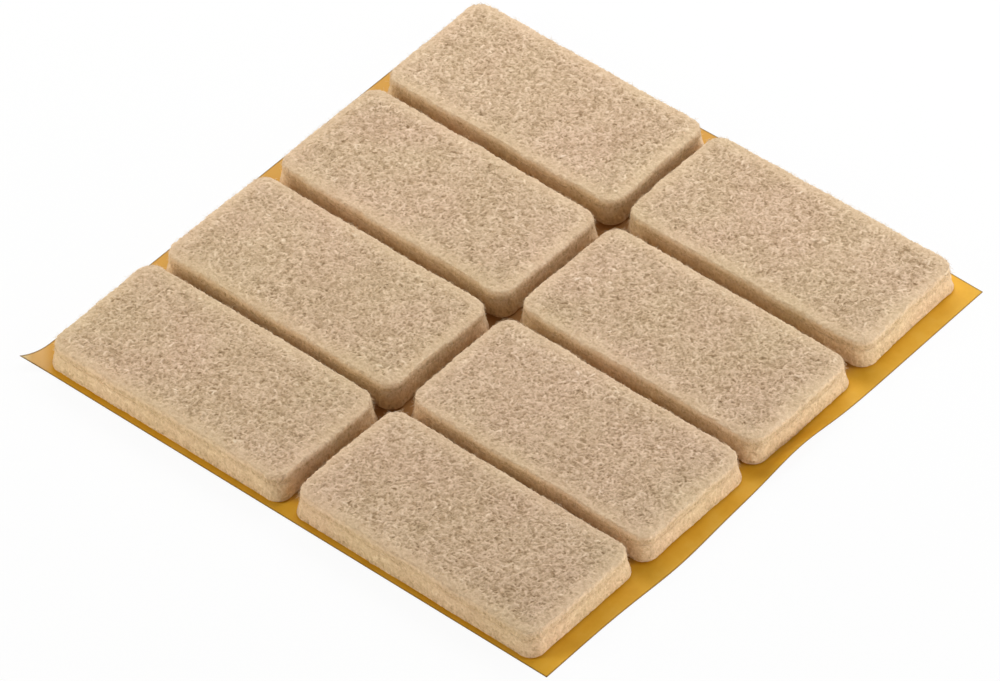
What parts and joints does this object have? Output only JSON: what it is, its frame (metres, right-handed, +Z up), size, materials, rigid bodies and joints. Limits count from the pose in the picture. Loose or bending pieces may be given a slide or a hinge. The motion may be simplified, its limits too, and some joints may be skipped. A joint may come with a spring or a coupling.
{
  "type": "furniture slider",
  "caption": "Self-adhesive oblong felt sliders for furniture legs, two plies thick with rounded corners, laid in rows on a curled amber release liner to be peeled off.",
  "frame": {"origin": "on the liner's underside, under the middle of the block of pads", "axes": "+Z up, out of the felt's glide faces; +X along the pads' length, from the left column to the right; +Y across the rows, from the front row to the back"},
  "size_m": [0.112, 0.1116, 0.0057],
  "materials": {
    "felt": "matte",
    "felt_base": "matte",
    "adhesive": "gloss",
    "liner": "satin"
  },
  "bodies": {
    "liner": {"release_liner": "liner"},
    "pad_left_1": {"pad_left_1_glide_felt": "felt", "pad_left_1_base_felt": "felt_base", "pad_left_1_adhesive": "adhesive"},
    "pad_right_1": {"pad_right_1_glide_felt": "felt", "pad_right_1_base_felt": "felt_base", "pad_right_1_adhesive": "adhesive"},
    "pad_left_2": {"pad_left_2_glide_felt": "felt", "pad_left_2_base_felt": "felt_base", "pad_left_2_adhesive": "adhesive"},
    "pad_right_2": {"pad_right_2_glide_felt": "felt", "pad_right_2_base_felt": "felt_base", "pad_right_2_adhesive": "adhesive"},
    "pad_left_3": {"pad_left_3_glide_felt": "felt", "pad_left_3_base_felt": "felt_base", "pad_left_3_adhesive": "adhesive"},
    "pad_right_3": {"pad_right_3_glide_felt": "felt", "pad_right_3_base_felt": "felt_base", "pad_right_3_adhesive": "adhesive"},
    "pad_left_4": {"pad_left_4_glide_felt": "felt", "pad_left_4_base_felt": "felt_base", "pad_left_4_adhesive": "adhesive"},
    "pad_right_4": {"pad_right_4_glide_felt": "felt", "pad_right_4_base_felt": "felt_base", "pad_right_4_adhesive": "adhesive"}
  },
  "joints": [
    {"name": "peel_left_1", "type": "slide", "parent": "liner", "child": "pad_left_1", "axis": [0, 0, 1], "range_m": [0, 0.04]},
    {"name": "peel_right_1", "type": "slide", "parent": "liner", "child": "pad_right_1", "axis": [0, 0, 1], "range_m": [0, 0.04]},
    {"name": "peel_left_2", "type": "slide", "parent": "liner", "child": "pad_left_2", "axis": [0, 0, 1], "range_m": [0, 0.04]},
    {"name": "peel_right_2", "type": "slide", "parent": "liner", "child": "pad_right_2", "axis": [0, 0, 1], "range_m": [0, 0.04]},
    {"name": "peel_left_3", "type": "slide", "parent": "liner", "child": "pad_left_3", "axis": [0, 0, 1], "range_m": [0, 0.04]},
    {"name": "peel_right_3", "type": "slide", "parent": "liner", "child": "pad_right_3", "axis": [0, 0, 1], "range_m": [0, 0.04]},
    {"name": "peel_left_4", "type": "slide", "parent": "liner", "child": "pad_left_4", "axis": [0, 0, 1], "range_m": [0, 0.04]},
    {"name": "peel_right_4", "type": "slide", "parent": "liner", "child": "pad_right_4", "axis": [0, 0, 1], "range_m": [0, 0.04]}
  ]
}
